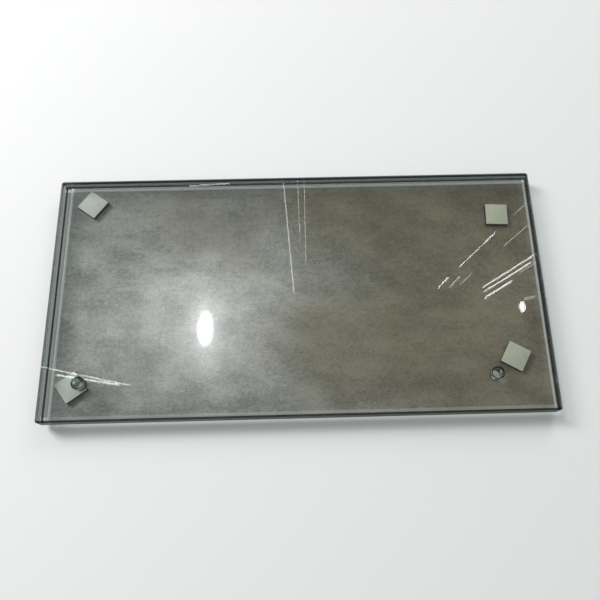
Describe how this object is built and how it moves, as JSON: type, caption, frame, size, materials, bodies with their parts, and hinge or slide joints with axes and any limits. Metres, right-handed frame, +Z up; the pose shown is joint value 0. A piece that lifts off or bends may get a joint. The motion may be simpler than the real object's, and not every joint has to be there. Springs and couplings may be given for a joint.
{
  "type": "display fridge side glass",
  "caption": "Rectangular thick clear glass side panel for a display fridge, with arrised edges, fixing holes near one long edge and square separator pads stuck to its back face.",
  "frame": {"origin": "under the middle of the sheet, on the plane that the pads stand on", "axes": "+X along the sheet's long side, +Y along its short side towards the edge without holes, +Z up through the thickness"},
  "size_m": [0.39, 0.2, 0.016],
  "materials": {
    "clear_glass": "clear toughened float glass, ground and polished edges",
    "black_cushion": "matt black closed-cell cushion",
    "white_cling_foam": "matt off-white cling foam"
  },
  "bodies": {
    "root": {"glass_sheet": "clear_glass", "far_left_pad_cushion": "black_cushion", "far_left_pad_cling_layer": "white_cling_foam", "far_right_pad_cushion": "black_cushion", "far_right_pad_cling_layer": "white_cling_foam", "near_left_pad_cushion": "black_cushion", "near_left_pad_cling_layer": "white_cling_foam", "near_right_pad_cushion": "black_cushion", "near_right_pad_cling_layer": "white_cling_foam"}
  },
  "joints": []
}
